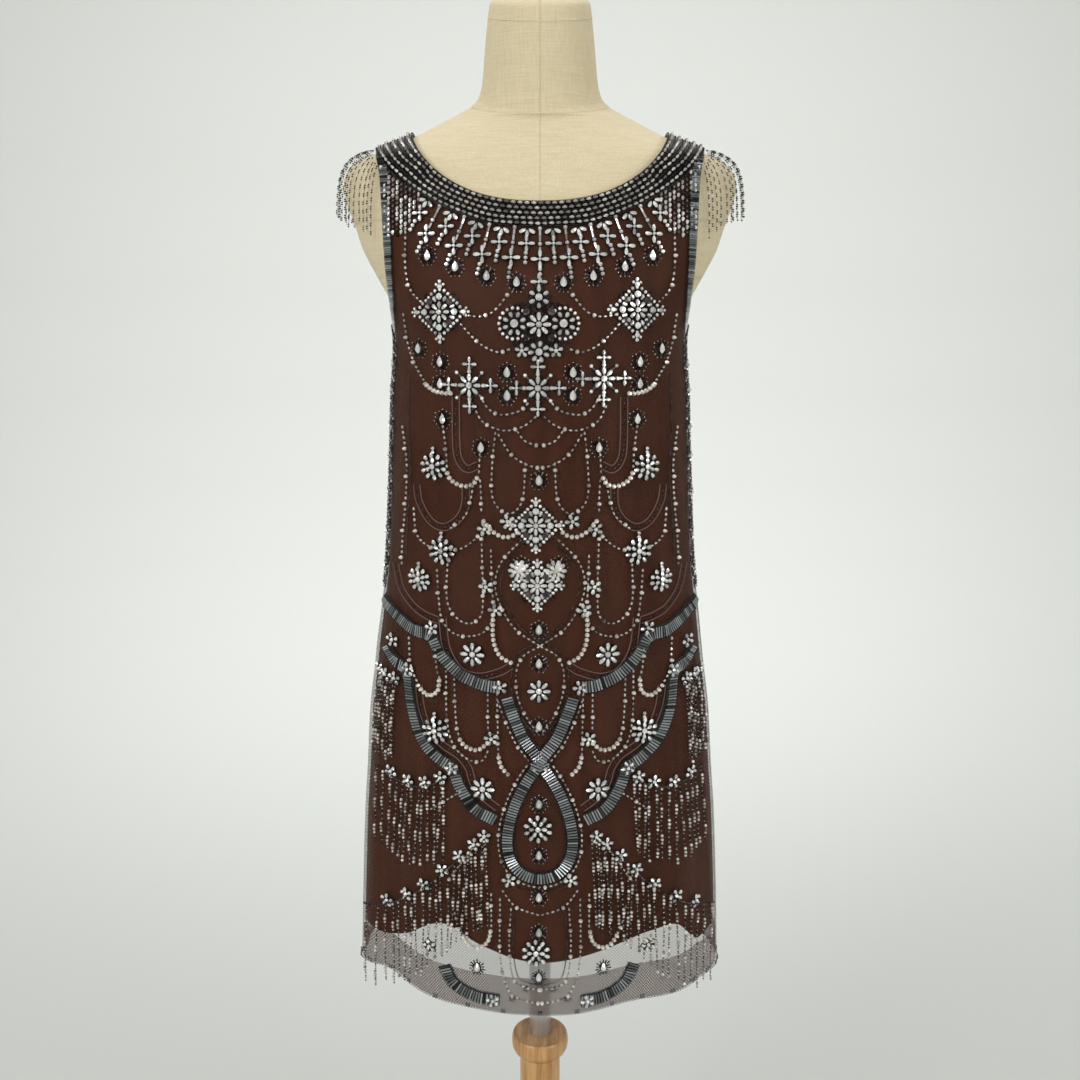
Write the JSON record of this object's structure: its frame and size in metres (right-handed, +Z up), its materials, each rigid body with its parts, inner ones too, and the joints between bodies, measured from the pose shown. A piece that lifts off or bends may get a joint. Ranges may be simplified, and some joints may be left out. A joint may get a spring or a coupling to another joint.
{
  "type": "beaded mini dress on a dress form",
  "caption": "Sleeveless scoop-neck net mini dress with beaded swags, medallions and fringe over a brown lining, on a limbless linen dress form with a pole and round wooden base.",
  "frame": {"origin": "centre of the flat underside of the round wooden base", "axes": "+Z up along the pole, the dress front faces -Y, the wearer's left side is towards +X"},
  "size_m": [0.4294, 0.33, 1.5594],
  "materials": {
    "net_mesh": "sheer matte net",
    "lining_satin": "soft satin",
    "bead_band": "gunmetal seed beads",
    "bugle_bead": "steel grey bugle beads",
    "crystal": "silver-backed crystal",
    "fringe_bead": "dark seed bead strands",
    "form_linen": "cream linen",
    "pole_chrome": "polished",
    "stand_wood": "clear varnished"
  },
  "bodies": {
    "root": {"net_front": "net_mesh", "lining_front": "lining_satin", "hem_band_front": "net_mesh", "neck_band_front": "bead_band", "ribbon_upper_scallop_front_left": "bugle_bead", "ribbon_upper_scallop_front_right": "bugle_bead", "ribbon_lower_scallop_front_left": "bugle_bead", "ribbon_lower_scallop_front_right": "bugle_bead", "ribbon_centre_arm_front_left": "bugle_bead", "ribbon_centre_arm_front_right": "bugle_bead", "ribbon_hem_arc_front_left": "bugle_bead", "ribbon_hem_arc_front_right": "bugle_bead", "ribbon_teardrop_front": "bugle_bead", "armhole_trim_front_left": "bead_band", "tier_top_front_left": "fringe_bead", "tier_middle_front_left": "fringe_bead", "tier_low_front_left": "fringe_bead", "armhole_trim_front_right": "bead_band", "tier_top_front_right": "fringe_bead", "tier_middle_front_right": "fringe_bead", "tier_low_front_right": "fringe_bead", "net_back": "net_mesh", "lining_back": "lining_satin", "hem_band_back": "net_mesh", "neck_band_back": "bead_band", "ribbon_upper_scallop_back_left": "bugle_bead", "ribbon_upper_scallop_back_right": "bugle_bead", "ribbon_lower_scallop_back_left": "bugle_bead", "ribbon_lower_scallop_back_right": "bugle_bead", "ribbon_centre_arm_back_left": "bugle_bead", "ribbon_centre_arm_back_right": "bugle_bead", "ribbon_hem_arc_back_left": "bugle_bead", "ribbon_hem_arc_back_right": "bugle_bead", "ribbon_teardrop_back": "bugle_bead", "armhole_trim_back_left": "bead_band", "tier_top_back_left": "fringe_bead", "tier_middle_back_left": "fringe_bead", "tier_low_back_left": "fringe_bead", "armhole_trim_back_right": "bead_band", "tier_top_back_right": "fringe_bead", "tier_middle_back_right": "fringe_bead", "tier_low_back_right": "fringe_bead", "medallion_left": "crystal", "medallion_right": "crystal", "medallion_centre": "crystal", "cross_flower_left": "crystal", "cross_flower_right": "crystal", "cross_flower_centre": "crystal", "waist_medallion": "crystal", "drop_medallion": "crystal", "shoulder_fringe_left": "fringe_bead", "shoulder_fringe_right": "fringe_bead", "form_torso": "form_linen", "stand_pole": "pole_chrome", "stand_column": "stand_wood", "stand_base": "stand_wood"}
  },
  "joints": []
}
